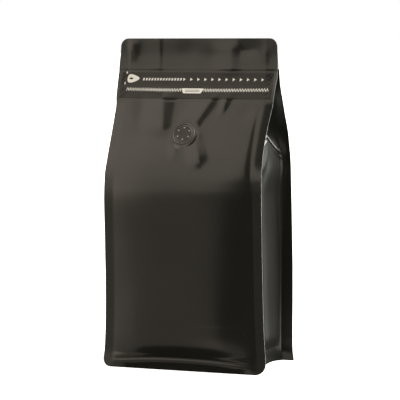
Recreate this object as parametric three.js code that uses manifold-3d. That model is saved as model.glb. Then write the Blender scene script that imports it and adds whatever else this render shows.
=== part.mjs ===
// A matte black flat-bottom coffee bag with a degassing valve, standing upright, shut and filled.
// Millimetres, +Z up. X runs along the front from left to right, Y from the front to the back, and the
// base rests on z = 0. The bag is one closed body: a front and a back panel whose side seals stand out
// as fins, two side gussets set back behind them, and a thin flat top where everything is sealed
// together. The pull strip and the valve are pieces of their own, let into the front panel.
import * as THREE from 'three';
import { mergeVertices } from 'three/addons/utils/BufferGeometryUtils.js';
import Module from 'manifold-3d';

// ---- Driving dimensions -------------------------------------------------------------------------

const BAG_HEIGHT = 258;
const BODY_HALF_WIDTH = 64.5;
const BASE_FLARE = 3.5;
const BASE_FLARE_REACH = 26;
const WAIST_DEPTH = 0.8;
const WAIST_Z = 174;
const WAIST_REACH = 22;
const TOP_SPREAD = 1.5;
const TOP_SPREAD_FROM = 190;
const TOP_SPREAD_TO = 235;
const TOP_TAPER = 1;
const TOP_TAPER_FROM = 236;
const TOP_TAPER_TO = 252;
const TOP_CORNER = 6.5;
const FOOT_CORNER = 7;
const SEAL_WIDTH = 8;
const SEAL_LEFT_AT_CORNER = 1;
const WALL = 1.2;
const GUSSET_DEPTH = 75;
const POCKET_TOP = 234;

// Side edges of the front and back panels seen from the side: height above the base, then y.
const FRONT_EDGE = [
  [0, -37.5], [6, -37.0], [12, -36.5], [24, -36.7], [60, -37.8], [100, -39.7], [143, -40.8],
  [158, -38.7], [185, -26.1], [215, -11.0], [232, -4.5], [242, -2.4], [BAG_HEIGHT, -2.1],
];
const BACK_EDGE = [
  [0, 37.5], [7, 36.2], [20, 38.2], [40, 41.2], [70, 42.8], [120, 40.3], [143, 39.0],
  [168, 39.4], [182, 34.9], [205, 17.3], [224, 4.3], [236, 1.2], [BAG_HEIGHT, 1.1],
];
// How far each panel swells out between its side seals: height, then swell. The ledge at 8 to 10.5
// is the upper edge of the bottom seal.
const FRONT_SWELL = [
  [0, 0], [4, 1.7], [8, 3.4], [10.5, 3.5], [20, 7.6], [34, 9.0], [60, 8.4], [100, 7.0], [125, 6.3], [165, 4.5],
  [205, 2], [232, 0.4], [BAG_HEIGHT, 0.2],
];
const BACK_SWELL = [
  [0, 0], [4, 1.0], [8, 2.0], [10.5, 1.9], [20, 3.2], [34, 4.0], [70, 4.4], [130, 5.5], [165, 4],
  [205, 1.6], [232, 0.4], [BAG_HEIGHT, 0.2],
];
const SWELL_POWER = 3;

// Side gussets: a flat wall up to a roof-like shoulder, then a deep V between front and back.
const SHOULDER_ROOT_Z = 170;
const SHOULDER_RISE = 15;
const SHELF_HEIGHT = 4.5;
const FOLLOW_SHOULDER_FROM = 110;
const FOLLOW_SHOULDER_UPTO = 165;
const LEAVE_SHOULDER_FROM = 180;
const CREASE_DEPTH = 1.8;
const CREASE_FADE_FROM = 70;
const CREASE_FADE_TO = 140;
const FOOT_SWELL = 1.5;
const FOOT_SWELL_REACH = 30;

// Pull strip across the front, above the zip.
const STRIP_BOTTOM = 211;
const STRIP_TOP = 231.6;
const STRIP_HALF_WIDTH = 63.2;
const STRIP_PROUD = 0.3;
const STRIP_SUNK = 0.3;
const FIT_GAP = 0.3;
const CUT_CLEARANCE = 4;

// Degassing valve.
const VALVE_X = -2;
const VALVE_Z = 184.3;
const VALVE_RADIUS = 9.2;
const VALVE_SUNK = 0.6;
const VALVE_RIM_HEIGHT = 0.55;
const VALVE_RIM_WIDTH = 1.3;
const VALVE_GROOVE_RADIUS = 7.1;
const VALVE_FACE_HEIGHT = 0.4;
const VALVE_GROOVE_HEIGHT = 0.1;
const VALVE_HOLES = 6;
const VALVE_HOLE_RING = 4.8;
const VALVE_HOLE_TURN = 30;
const VALVE_HOLE_RADIUS = 0.55;
const VALVE_HOLE_DEPTH = 0.5;
const VALVE_SIDES = 40;
const HOLE_SIDES = 8;
const FLAT_SPOT_INNER = 10;
const FLAT_SPOT_OUTER = 18;

// Dents and ridges in the front panel. Each has a centre, half lengths along and across, a lean of its
// long axis from upright in degrees (foot towards -X is positive) and a height, negative inwards.
const FRONT_DENTS = [
  { x: -28, z: 201, along: 14, across: 5, lean: -12, height: 1.0 },
  { x: -18, z: 201, along: 13, across: 4.5, lean: -12, height: -1.5 },
  { x: 15, z: 198, along: 11, across: 3.5, lean: 27, height: -1.5 },
  { x: 27.5, z: 200, along: 9, across: 3, lean: -20, height: 1.0 },
  { x: 34, z: 202, along: 8, across: 3, lean: 12, height: -1.3 },
  { x: 45, z: 205, along: 5, across: 9, lean: 0, height: -0.8 },
  { x: 12.5, z: 177, along: 17, across: 4, lean: -17, height: -2.2 },
  { x: -2.5, z: 171, along: 6, across: 3, lean: 0, height: -0.8 },
];
// Folds that run through the sealed top, front and back together.
const TOP_FOLDS = [
  { x: -53, z: 246, along: 12, across: 3, lean: 0, height: 0.7 },
  { x: -39, z: 246, along: 14, across: 5, lean: 0, height: -0.8 },
  { x: 22, z: 246, along: 14, across: 8, lean: 0, height: -0.8 },
  { x: 35, z: 246, along: 14, across: 5, lean: 0, height: 0.7 },
];
const TOP_FOLD_FROM = 232;
const TOP_FOLD_FULL = 240;

// Mesh steps. Each zone reaches up to a height with the given step between levels.
const LEVEL_ZONES = [
  [2, 1], [7, 1.7], [15, 2.7], [37, 5.5], [133, 12], [158, 6.25], [SHOULDER_ROOT_Z, 3], [194, 3], [230, 4.5],
  [POCKET_TOP, 2],
];
const TOP_ZONES = [[251, 5.7], [256, 1.7], [BAG_HEIGHT, 1]];
const PANEL_COLUMNS = 22;
const GUSSET_COLUMNS = 12;
const STRIP_COLUMNS = 22;
const STRIP_ROWS = 5;

// ---- Small helpers ------------------------------------------------------------------------------

function smoothstep(from, to, value) {
  const t = THREE.MathUtils.clamp((value - from) / (to - from), 0, 1);
  return t * t * (3 - 2 * t);
}

// A smooth course through a few stations [place, value].
function along(stations, place) {
  const slopes = stations.slice(1).map(
    ([p, v], i) => (v - stations[i][1]) / (p - stations[i][0]),
  );
  const last = stations.length - 1;
  const tangents = stations.map((station, i) => {
    if (i === 0) return slopes[0];
    if (i === last) return slopes[last - 1];
    const before = station[0] - stations[i - 1][0];
    const after = stations[i + 1][0] - station[0];
    return (slopes[i - 1] * after + slopes[i] * before) / (before + after);
  });
  let k = 0;
  while (k < last - 1 && place > stations[k + 1][0]) k += 1;
  const [p0, v0] = stations[k];
  const [p1, v1] = stations[k + 1];
  const span = p1 - p0;
  const t = (place - p0) / span;
  const fall = 2 * t ** 3 - 3 * t ** 2 + 1;
  return (
    fall * v0 + (1 - fall) * v1
    + (t ** 3 - 2 * t ** 2 + t) * span * tangents[k]
    + (t ** 3 - t ** 2) * span * tangents[k + 1]
  );
}

function reliefAt(dents, x, z) {
  return dents.reduce((sum, dent) => {
    const lean = THREE.MathUtils.degToRad(dent.lean);
    const dx = x - dent.x;
    const dz = z - dent.z;
    const lengthwise = dz * Math.cos(lean) + dx * Math.sin(lean);
    const crosswise = dx * Math.cos(lean) - dz * Math.sin(lean);
    return sum + dent.height * Math.exp(-((lengthwise / dent.along) ** 2) - (crosswise / dent.across) ** 2);
  }, 0);
}

function evenly(from, to, steps) {
  return Array.from({ length: steps + 1 }, (_, i) => from + ((to - from) * i) / steps);
}

function levelsOver(start, zones) {
  const levels = [start];
  let from = start;
  for (const [upTo, step] of zones) {
    levels.push(...evenly(from, upTo, Math.round((upTo - from) / step)).slice(1));
    from = upTo;
  }
  return levels;
}

// ---- Form of the bag ----------------------------------------------------------------------------

// Half width of the panels before their corners are rounded.
function sideSeam(z) {
  return (
    BODY_HALF_WIDTH
    + BASE_FLARE * Math.exp(-z / BASE_FLARE_REACH)
    - WAIST_DEPTH * Math.exp(-(((z - WAIST_Z) / WAIST_REACH) ** 2))
    + TOP_SPREAD * smoothstep(TOP_SPREAD_FROM, TOP_SPREAD_TO, z)
    - TOP_TAPER * smoothstep(TOP_TAPER_FROM, TOP_TAPER_TO, z)
  );
}

function halfWidth(z) {
  const atTop = z > BAG_HEIGHT / 2;
  const radius = atTop ? TOP_CORNER : FOOT_CORNER;
  const fromEnd = atTop ? BAG_HEIGHT - z : z;
  const intoCorner = Math.max(0, radius - fromEnd);
  return sideSeam(z) - radius + Math.sqrt(radius ** 2 - intoCorner ** 2);
}

function gussetRoot(z) {
  return sideSeam(z) - SEAL_WIDTH;
}

function topFolds(x, z) {
  return smoothstep(TOP_FOLD_FROM, TOP_FOLD_FULL, z) * reliefAt(TOP_FOLDS, x, z);
}

// Outward swell of a panel between its side seals.
function panelSwell(swell, x, z) {
  const across = Math.min(1, Math.abs(x) / gussetRoot(z));
  return along(swell, z) * (1 - across ** SWELL_POWER);
}

function creasedFront(x, z) {
  const inSeal = 1 - Math.min(1, Math.abs(x) / gussetRoot(z)) ** SWELL_POWER;
  return along(FRONT_EDGE, z) - panelSwell(FRONT_SWELL, x, z) - inSeal * reliefAt(FRONT_DENTS, x, z);
}

// The film lies flat over the valve, so the panel turns into a plane round it.
const SLOPE_STEP = 2;
const valveSlope = (creasedFront(VALVE_X, VALVE_Z + SLOPE_STEP) - creasedFront(VALVE_X, VALVE_Z - SLOPE_STEP))
  / (2 * SLOPE_STEP);
const valveCentre = new THREE.Vector3(VALVE_X, creasedFront(VALVE_X, VALVE_Z), VALVE_Z);
const valveNormal = new THREE.Vector3(0, -1, valveSlope).normalize();

function frontY(x, z) {
  const fromValve = Math.hypot(x - VALVE_X, (z - VALVE_Z) * Math.hypot(1, valveSlope));
  const flat = 1 - smoothstep(FLAT_SPOT_INNER, FLAT_SPOT_OUTER, fromValve);
  const plane = valveCentre.y + valveSlope * (z - VALVE_Z);
  return THREE.MathUtils.lerp(creasedFront(x, z), plane, flat) + topFolds(x, z);
}

function backY(x, z) {
  return along(BACK_EDGE, z) + panelSwell(BACK_SWELL, x, z) + topFolds(x, z);
}

// Outside of the right gusset at a height; side runs from -1 at the front root to 1 at the back root.
function gussetX(side, z) {
  const inwards = 1 - Math.abs(side);
  const crease = CREASE_DEPTH * (1 - smoothstep(CREASE_FADE_FROM, CREASE_FADE_TO, z));
  const foot = FOOT_SWELL * Math.exp(-z / FOOT_SWELL_REACH) * (1 - side ** 2);
  const wall = gussetRoot(z) + foot - crease * inwards;
  const aboveShoulder = z - SHOULDER_ROOT_Z - SHOULDER_RISE * inwards;
  if (aboveShoulder <= 0) return wall;
  const halfDepth = (along(BACK_EDGE, z) - along(FRONT_EDGE, z)) / 2 - WALL;
  const foldDepth = Math.sqrt(Math.max(0, (GUSSET_DEPTH / 2) ** 2 - halfDepth ** 2));
  const overShelf = inwards > 0 ? Math.min(1, aboveShoulder / (SHELF_HEIGHT * inwards)) : 1;
  return THREE.MathUtils.lerp(wall, gussetRoot(z) - foldDepth * inwards, overShelf);
}

// The gusset's mesh lines climb towards the middle, side by side with the shoulder's ridge.
function ridgeLift(side, z) {
  const near = smoothstep(FOLLOW_SHOULDER_FROM, FOLLOW_SHOULDER_UPTO, z);
  const left = smoothstep(LEAVE_SHOULDER_FROM, POCKET_TOP, z);
  return SHOULDER_RISE * (1 - Math.abs(side)) * near * (1 - left);
}

// ---- The bag's skin, as closed rings at each height ----------------------------------------------

// A panel from its left edge to its right edge, with the inner lines of both side seals.
function panelPoints(surface, z, columns) {
  const edge = halfWidth(z);
  const seal = Math.min(gussetRoot(z), edge - SEAL_LEFT_AT_CORNER);
  const places = [-edge, ...evenly(-seal, seal, columns), edge];
  return places.map((x) => new THREE.Vector3(x, surface(x, z), z));
}

// The gusset pocket of one side (1 right, -1 left), from the front fin to the back fin.
function pocketPoints(z, hand) {
  const edge = halfWidth(z);
  const inFrontY = (height) => frontY(hand * edge, height) + WALL;
  const inBackY = (height) => backY(hand * edge, height) - WALL;
  const gusset = evenly(-1, 1, GUSSET_COLUMNS).map((side) => {
    const height = z + ridgeLift(side, z);
    const y = THREE.MathUtils.lerp(inFrontY(height), inBackY(height), (side + 1) / 2);
    const x = Math.min(gussetX(side, height), edge - SEAL_LEFT_AT_CORNER);
    return new THREE.Vector3(hand * x, y, height);
  });
  const near = new THREE.Vector3(hand * edge, inFrontY(z), z);
  const far = new THREE.Vector3(hand * edge, inBackY(z), z);
  return [near, ...gusset, far];
}

function outlineAt(z) {
  return {
    front: panelPoints(frontY, z, PANEL_COLUMNS),
    back: panelPoints(backY, z, PANEL_COLUMNS),
    right: pocketPoints(z, 1),
    left: pocketPoints(z, -1),
  };
}

// A ring runs anticlockwise seen from above: round both pockets below their top, past them above it.
function ring({ front, back, right, left }, open) {
  const side = (pocket) => (open ? pocket : [pocket[0], pocket.at(-1)]);
  return [...front, ...side(right), ...back.toReversed(), ...side(left).toReversed()];
}

function pushTriangle(positions, a, b, c) {
  positions.push(...a.toArray(), ...b.toArray(), ...c.toArray());
}

function skin(positions, rings) {
  for (let level = 0; level + 1 < rings.length; level += 1) {
    const low = rings[level];
    const high = rings[level + 1];
    low.forEach((point, i) => {
      const next = (i + 1) % low.length;
      pushTriangle(positions, point, low[next], high[next]);
      pushTriangle(positions, point, high[next], high[i]);
    });
  }
}

// A level triangle that faces up or down, whichever way its corners are given.
function pushLevel(positions, facesUp, a, b, c) {
  const turnsLeft = (b.x - a.x) * (c.y - a.y) - (b.y - a.y) * (c.x - a.x) > 0;
  if (turnsLeft === facesUp) pushTriangle(positions, a, b, c);
  else pushTriangle(positions, a, c, b);
}

// Level strip between two rows of points; a last pair that is one point closes it.
function ladder(positions, facesUp, near, far) {
  for (let i = 0; i + 1 < near.length; i += 1) {
    pushLevel(positions, facesUp, near[i], near[i + 1], far[i]);
    if (near[i + 1] !== far[i + 1]) pushLevel(positions, facesUp, near[i + 1], far[i + 1], far[i]);
  }
}

function fan(positions, facesUp, hub, rim) {
  for (let i = 0; i + 1 < rim.length; i += 1) {
    pushLevel(positions, facesUp, hub, rim[i], rim[i + 1]);
  }
}

function baseCap(positions, { front, back, right, left }) {
  ladder(positions, false, front.slice(2, -2), back.slice(2, -2));
  for (const [pocket, at] of [[left, (row, i) => row[i]], [right, (row, i) => row.at(-1 - i)]]) {
    const gusset = pocket.slice(1, -1);
    const middle = GUSSET_COLUMNS / 2;
    fan(positions, false, at(front, 2), [at(front, 1), ...gusset.slice(0, middle + 1)]);
    pushLevel(positions, false, at(front, 2), gusset[middle], at(back, 2));
    fan(positions, false, at(back, 2), [...gusset.slice(middle), at(back, 1)]);
    ladder(positions, false, [at(front, 1), at(front, 0)], [gusset[0], pocket[0]]);
    ladder(positions, false, [at(back, 1), at(back, 0)], [gusset.at(-1), pocket.at(-1)]);
  }
}

function topCap(positions, { front, back, right, left }) {
  ladder(positions, true, front.slice(1, -1), back.slice(1, -1));
  fan(positions, true, front.at(-2), [front.at(-1), right[0], right.at(-1), back.at(-1), back.at(-2)]);
  fan(positions, true, front[1], [front[0], left[0], left.at(-1), back[0], back[1]]);
}

function pocketCeiling(positions, pocket) {
  const half = pocket.length / 2 + 0.5;
  ladder(positions, false, pocket.slice(0, half), pocket.toReversed().slice(0, half));
}

function geometryOf(positions) {
  const geometry = new THREE.BufferGeometry();
  geometry.setAttribute('position', new THREE.Float32BufferAttribute(positions, 3));
  return mergeVertices(geometry);
}

function bagSkin() {
  const positions = [];
  const lower = levelsOver(0, LEVEL_ZONES).map(outlineAt);
  const upper = levelsOver(POCKET_TOP, TOP_ZONES).map(outlineAt);
  skin(positions, lower.map((outline) => ring(outline, true)));
  skin(positions, upper.map((outline) => ring(outline, false)));
  baseCap(positions, lower[0]);
  topCap(positions, upper.at(-1));
  pocketCeiling(positions, lower.at(-1).right);
  pocketCeiling(positions, lower.at(-1).left);
  return geometryOf(positions);
}

// ---- Pull strip and valve -----------------------------------------------------------------------

// A slab that follows the front panel, from one depth to another, both measured outwards.
function frontSlab(halfAcross, bottom, top, inner, outer) {
  const rows = evenly(bottom, top, STRIP_ROWS);
  const loops = rows.map((z) => {
    const places = evenly(-halfAcross, halfAcross, STRIP_COLUMNS);
    const outside = places.map((x) => new THREE.Vector3(x, frontY(x, z) - outer, z));
    const inside = places.map((x) => new THREE.Vector3(x, frontY(x, z) - inner, z));
    return { outside, inside };
  });
  const positions = [];
  skin(positions, loops.map(({ outside, inside }) => [...outside, ...inside.toReversed()]));
  ladder(positions, false, loops[0].outside, loops[0].inside);
  ladder(positions, true, loops.at(-1).outside, loops.at(-1).inside);
  return geometryOf(positions);
}

function pullStrip() {
  return frontSlab(STRIP_HALF_WIDTH, STRIP_BOTTOM, STRIP_TOP, -STRIP_SUNK, STRIP_PROUD);
}

function stripRecess() {
  return frontSlab(
    STRIP_HALF_WIDTH + FIT_GAP,
    STRIP_BOTTOM - FIT_GAP,
    STRIP_TOP + FIT_GAP,
    -STRIP_SUNK - FIT_GAP,
    CUT_CLEARANCE,
  );
}

// Turned about its own axis, the outer face towards +Y of the lathe.
function valveDisc() {
  const rimInside = VALVE_RADIUS - VALVE_RIM_WIDTH;
  const profile = [
    [0, -VALVE_SUNK],
    [VALVE_RADIUS, -VALVE_SUNK],
    [VALVE_RADIUS, VALVE_RIM_HEIGHT / 2],
    [VALVE_RADIUS - VALVE_RIM_WIDTH / 4, VALVE_RIM_HEIGHT],
    [rimInside, VALVE_RIM_HEIGHT],
    [rimInside - VALVE_RIM_WIDTH / 4, VALVE_GROOVE_HEIGHT],
    [VALVE_GROOVE_RADIUS, VALVE_GROOVE_HEIGHT],
    [VALVE_GROOVE_RADIUS - VALVE_RIM_WIDTH / 4, VALVE_FACE_HEIGHT],
    [0, VALVE_FACE_HEIGHT],
  ];
  return new THREE.LatheGeometry(profile.map(([r, y]) => new THREE.Vector2(r, y)), VALVE_SIDES);
}

function valveHoles() {
  const turn = (2 * Math.PI) / VALVE_HOLES;
  const length = 2 * VALVE_HOLE_DEPTH;
  return Array.from({ length: VALVE_HOLES }, (_, i) => {
    const hole = new THREE.CylinderGeometry(VALVE_HOLE_RADIUS, VALVE_HOLE_RADIUS, length, HOLE_SIDES);
    const angle = THREE.MathUtils.degToRad(VALVE_HOLE_TURN) + i * turn;
    const x = VALVE_HOLE_RING * Math.cos(angle);
    const z = VALVE_HOLE_RING * Math.sin(angle);
    return hole.translate(x, VALVE_FACE_HEIGHT, z);
  });
}

const toPanel = new THREE.Quaternion().setFromUnitVectors(new THREE.Vector3(0, 1, 0), valveNormal);

function valveRecess() {
  const reach = VALVE_SUNK + FIT_GAP;
  const radius = VALVE_RADIUS + FIT_GAP;
  const cutter = new THREE.CylinderGeometry(radius, radius, reach + CUT_CLEARANCE, VALVE_SIDES);
  cutter.translate(0, (CUT_CLEARANCE - reach) / 2, 0);
  return cutter.applyQuaternion(toPanel).translate(valveCentre.x, valveCentre.y, valveCentre.z);
}

// ---- Cuts ---------------------------------------------------------------------------------------

const wasm = await Module();
wasm.setup();

function solidOf(geometry) {
  const bare = geometry.clone();
  bare.deleteAttribute('normal');
  bare.deleteAttribute('uv');
  const merged = mergeVertices(bare);
  return new wasm.Manifold(new wasm.Mesh({
    numProp: 3,
    vertProperties: new Float32Array(merged.attributes.position.array),
    triVerts: new Uint32Array(merged.index.array),
  }));
}

function geometryFrom(solid) {
  const mesh = solid.getMesh();
  const geometry = new THREE.BufferGeometry();
  geometry.setAttribute('position', new THREE.BufferAttribute(mesh.vertProperties, 3));
  geometry.setIndex(new THREE.BufferAttribute(mesh.triVerts, 1));
  geometry.computeVertexNormals();
  return geometry;
}

function cut(geometry, cutters) {
  const whole = cutters.reduce((solid, cutter) => solid.subtract(solidOf(cutter)), solidOf(geometry));
  return geometryFrom(whole);
}

// ---- The bag ------------------------------------------------------------------------------------

const film = new THREE.MeshStandardMaterial({ color: 0x2b2826, roughness: 0.5, metalness: 0.0 });
const ribbedFilm = new THREE.MeshStandardMaterial({ color: 0x33302d, roughness: 0.6, metalness: 0.0 });
const valvePlastic = new THREE.MeshStandardMaterial({ color: 0x2e2b29, roughness: 0.4, metalness: 0.0 });

function piece(name, geometry, material) {
  const mesh = new THREE.Mesh(geometry, material);
  mesh.name = name;
  return mesh;
}

const bag = new THREE.Group();
bag.add(piece('bag_body', cut(bagSkin(), [stripRecess(), valveRecess()]), film));
bag.add(piece('pull_strip', pullStrip(), ribbedFilm));

const valve = piece('valve', cut(valveDisc(), valveHoles()), valvePlastic);
valve.position.copy(valveCentre);
valve.quaternion.copy(toPanel);
bag.add(valve);

export default bag;
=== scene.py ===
# %% [markdown]
# # A flat-bottom coffee bag in matte black film
#
# This lesson dresses a standing coffee bag, shut and filled. Its CAD model has three solids: the bag,
# the ribbed band above the zip and the one-way valve. Here they get the fine shape of real laminate
# film: thin side seals, folds, dents, a pressed band and printed marks.
#
# The first lines load the CAD model as a fixed frame. Blender works in metres, and the sizes below are
# in millimetres, so every length is multiplied by MM where a mesh is made.

# %% Load the frame
import math

import bpy
import numpy as np
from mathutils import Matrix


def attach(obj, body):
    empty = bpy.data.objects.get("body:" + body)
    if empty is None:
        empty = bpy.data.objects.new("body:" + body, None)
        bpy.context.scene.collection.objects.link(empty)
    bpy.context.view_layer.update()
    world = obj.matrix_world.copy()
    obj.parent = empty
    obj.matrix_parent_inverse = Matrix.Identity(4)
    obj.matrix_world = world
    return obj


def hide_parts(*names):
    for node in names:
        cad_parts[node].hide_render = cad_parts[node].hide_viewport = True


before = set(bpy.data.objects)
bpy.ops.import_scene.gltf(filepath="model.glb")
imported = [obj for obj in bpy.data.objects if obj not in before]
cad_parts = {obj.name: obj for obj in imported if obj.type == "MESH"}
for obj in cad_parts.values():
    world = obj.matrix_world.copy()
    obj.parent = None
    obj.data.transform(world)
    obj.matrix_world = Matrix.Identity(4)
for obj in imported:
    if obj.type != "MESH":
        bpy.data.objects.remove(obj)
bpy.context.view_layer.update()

MM = 0.001

# %% [markdown]
# ## The camera
#
# The photo was taken from the right of the front, a little above the middle of the bag, from about
# one and a half metres. A long lens keeps the two side seals almost parallel. The camera comes first,
# so that every later piece can be judged in the same picture.

# %% Camera
CAMERA_PLACE = (0.487, -1.378, 0.252)
CAMERA_DOWN = 4.75
CAMERA_ROUND = 19.43
LENS = 166.8
SENSOR = 36.0

scene = bpy.context.scene
lens_data = bpy.data.cameras.new("bag_camera")
lens_data.lens = LENS
lens_data.sensor_width = SENSOR
camera = bpy.data.objects.new("bag_camera", lens_data)
camera.location = CAMERA_PLACE
camera.rotation_euler = (math.radians(90 - CAMERA_DOWN), 0, math.radians(CAMERA_ROUND))
scene.collection.objects.link(camera)
scene.camera = camera
print("camera stands at", CAMERA_PLACE)

# %% [markdown]
# ## The course of the film
#
# The bag is a loft: at every height it has a front panel, a back panel and two gussets. A few stations
# say how far forward or back each panel's side edge stands at a height, and a smooth curve joins them.
# Modelling this by hand with a subdivision surface would work too, but stations keep the shape tied
# to heights that can be read off the bag.

# %% Stations of the side edges and of the swell, in millimetres
HEIGHT = 258.0
FRONT_EDGE = [
    (0, -37.5), (6, -37.0), (12, -36.5), (24, -36.7), (60, -37.8), (100, -39.7), (143, -40.8),
    (158, -38.7), (185, -26.1), (215, -11.0), (232, -4.5), (242, -3.0), (HEIGHT, -1.9),
]
BACK_EDGE = [
    (0, 37.5), (7, 36.2), (20, 38.2), (40, 41.2), (70, 42.8), (120, 40.3), (143, 39.0),
    (168, 39.4), (182, 34.9), (205, 17.3), (224, 3.6), (236, 0.0), (HEIGHT, -0.5),
]
FRONT_SWELL = [
    (0, 0), (3.8, 1.7), (7.5, 3.3), (8.7, 3.45), (9.9, 3.2), (12.5, 4.5), (19.5, 7.6), (24, 8.5), (34, 9.0),
    (60, 8.4), (100, 7.0), (125, 6.3), (165, 4.5), (205, 2), (232, 0.4), (HEIGHT, 0.0),
]
BACK_SWELL = [
    (0, 0), (4, 1.0), (7.6, 2.0), (10.4, 1.9), (19.5, 3.2), (34, 4.0), (70, 4.4), (130, 5.5), (165, 4),
    (205, 1.6), (232, 0.4), (HEIGHT, 0.0),
]
SWELL_POWER = 3.0


def course(stations, place):
    """A smooth course through stations (place, value), the same as in the CAD model."""
    places, values = np.array(stations, float).T
    spans = np.diff(places)
    slopes = np.diff(values) / spans
    inner = (slopes[:-1] * spans[1:] + slopes[1:] * spans[:-1]) / (spans[:-1] + spans[1:])
    tangents = np.concatenate([slopes[:1], inner, slopes[-1:]])
    place = np.asarray(place, float)
    k = np.clip(np.searchsorted(places, place) - 1, 0, len(spans) - 1)
    t = (place - places[k]) / spans[k]
    fall = 2 * t**3 - 3 * t**2 + 1
    start = (t**3 - 2 * t**2 + t) * spans[k] * tangents[k]
    end = (t**3 - t**2) * spans[k] * tangents[k + 1]
    return fall * values[k] + (1 - fall) * values[k + 1] + start + end


def smooth(start, end, value):
    """0 up to the start, 1 from the end on, and an even rise between."""
    t = np.clip((np.asarray(value, float) - start) / (end - start), 0, 1)
    return t * t * (3 - 2 * t)


def between(rise, fall, value):
    return smooth(*rise, value) * (1 - smooth(*fall, value))


def line(z, at, width):
    """A soft line, 1 in its middle."""
    return np.exp(-(((z - at) / width) ** 2))


print("front edge at half height:", round(float(course(FRONT_EDGE, HEIGHT / 2)), 2), "mm")

# %% Half width of the panels, with rounded corners
BODY_HALF = 64.5
TOP_CORNER = 6.5
FOOT_CORNER = 7.0
RIGHT_FRONT_CORNER = 9.5
BACK_CORNER = 1.2
SEAL = 8.0
FOOT_SPREAD, FOOT_REACH = 3.5, 26
WAIST_DEPTH, WAIST = 0.8, (174, 22)
UPPER_SPREAD, UPPER_RISE = 1.5, (190, 235)
TOP_NARROW, TOP_RISE = 1.0, (236, 252)
SWAY_WIDTH, SWAY = -0.8, (178, 24)


def side_seam(z):
    foot = FOOT_SPREAD * np.exp(-z / FOOT_REACH)
    waist = WAIST_DEPTH * line(z, *WAIST)
    upper = UPPER_SPREAD * smooth(*UPPER_RISE, z)
    return BODY_HALF + foot - waist + upper - TOP_NARROW * smooth(*TOP_RISE, z)


def half_width(z, foot_corner=FOOT_CORNER):
    at_top = z > HEIGHT / 2
    radius = np.where(at_top, TOP_CORNER, foot_corner)
    into = np.maximum(0, radius - np.where(at_top, HEIGHT - z, z))
    return side_seam(z) - radius + np.sqrt(radius**2 - into**2)


def seal_root(z):
    return side_seam(z) - SEAL


def sway(z):
    """The filled part leans a little to the left above the gusset's shoulder."""
    return SWAY_WIDTH * line(z, *SWAY)


print("half width, foot, waist, top:", [round(float(half_width(z)), 1) for z in (6.0, 174.0, 250.0)])

# %% [markdown]
# ## Dents and pleats
#
# Filled film never hangs smooth. The bag has soft dents, where the film sinks between beans and zip,
# and pleats, where it was bent once and kept the line. A dent is a round hollow, longer one way than
# the other. A pleat is a ridge along a line from an upper to a lower end. It rises on a wide flat
# flank at its left and falls on another at its right, so one flank catches the light and the other
# goes dark. Both are added to the panel as millimetres of relief. Cloth simulation could find
# such pleats by itself, but never these pleats at these places.

# %% Dents and pleats, in millimetres
# Dents: x, z, half length, half width, lean in degrees, height (below 0 is a hollow).
FRONT_DENTS = [
    (-57, 198, 16, 7, -14, 0.9), (-36, 183, 4, 14, 0, -0.5), (47, 201, 9, 6, 35, -1.7),
    (30, 160, 8, 10, 0, -0.3), (-42, 202, 14, 6.5, -12, -2.3),
]
# Pleats: upper x and z, lower x and z, width of the left flank, width of the right flank, height,
# taper (the share of right flank and height that is lost at the lower end).
FRONT_PLEATS = [
    (-25.5, 220, -19.8, 185, 17, 13.0, 4.9, 0.45), (19.0, 216, 3.8, 188.5, 14, 7.5, 2.9, 0.4),
    (28.5, 216, 25.6, 199, 4.0, 6.5, 2.6, 0.6), (6.8, 188, 15.5, 162, 9, 5.0, 1.7, -0.7),
    (-8.2, 177, -5.2, 167, 5, 3.6, 1.1, -0.3),
]
TOP_DENTS = [
    (41, 249, 6, 7, 0, -0.9), (57, 247, 7, 4, 0, 0.35), (-9, 246, 12, 8, 0, -0.35),
    (12, 240, 10, 7, 0, -0.3),
]
TOP_PLEATS = [
    (-32.1, 262, -31.3, 230, 12, 1.8, 0.6, 0.0), (27.4, 255, 28.8, 228, 17, 6.0, 1.3, -0.5),
    (-54.5, 258, -53.5, 244, 5, 6.5, 1.3, 0.3),
]
END_DENTS = [(61.8, 226.3, 5.2, 3.0, 0, -1.6), (-60.5, 224, 9, 2.2, 20, -0.5), (61.5, 217, 1.6, 3, 0, 0.4)]
CREST = 0.6
END_FADE = 6.0
FLANK_FOOT = 0.06


def dents_at(dents, x, z):
    total = 0.0
    for x0, z0, length, width, lean, height in dents:
        sine, cosine = math.sin(math.radians(lean)), math.cos(math.radians(lean))
        lengthwise = (z - z0) * cosine + (x - x0) * sine
        crosswise = (x - x0) * cosine - (z - z0) * sine
        total = total + height * np.exp(-((lengthwise / length) ** 2) - (crosswise / width) ** 2)
    return total


def pleats_at(pleats, x, z):
    total = 0.0
    for x1, z1, x2, z2, left_width, right_width, height, taper in pleats:
        length = math.hypot(x2 - x1, z2 - z1)
        down_x, down_z = (x2 - x1) / length, (z2 - z1) / length
        along = (x - x1) * down_x + (z - z1) * down_z
        aside = -(x - x1) * down_z + (z - z1) * down_x
        kept = 1 - taper * np.clip(along / length, 0, 1)
        width = np.where(aside < 0, left_width, right_width * kept)
        fall = 1 - (np.sqrt(aside**2 + CREST**2) - CREST) / width
        flank = 0.5 * (fall + np.sqrt(fall**2 + FLANK_FOOT))
        reach = smooth(-END_FADE, END_FADE, along) * (1 - smooth(-END_FADE, END_FADE, along - length))
        total = total + height * kept * flank * reach
    return total


# Ripples: height, wave length along x and z, bend of the wave, its length along x and z, start.
NONE = math.inf
RIPPLES = [
    (0.07, 6.1, NONE, 1.3, NONE, 23.0, 0.0), (0.06, NONE, 8.3, 0.9, 17.0, NONE, 2.0),
    (0.05, 11.0, 11.0, 0.0, NONE, NONE, 0.5),
]


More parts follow.
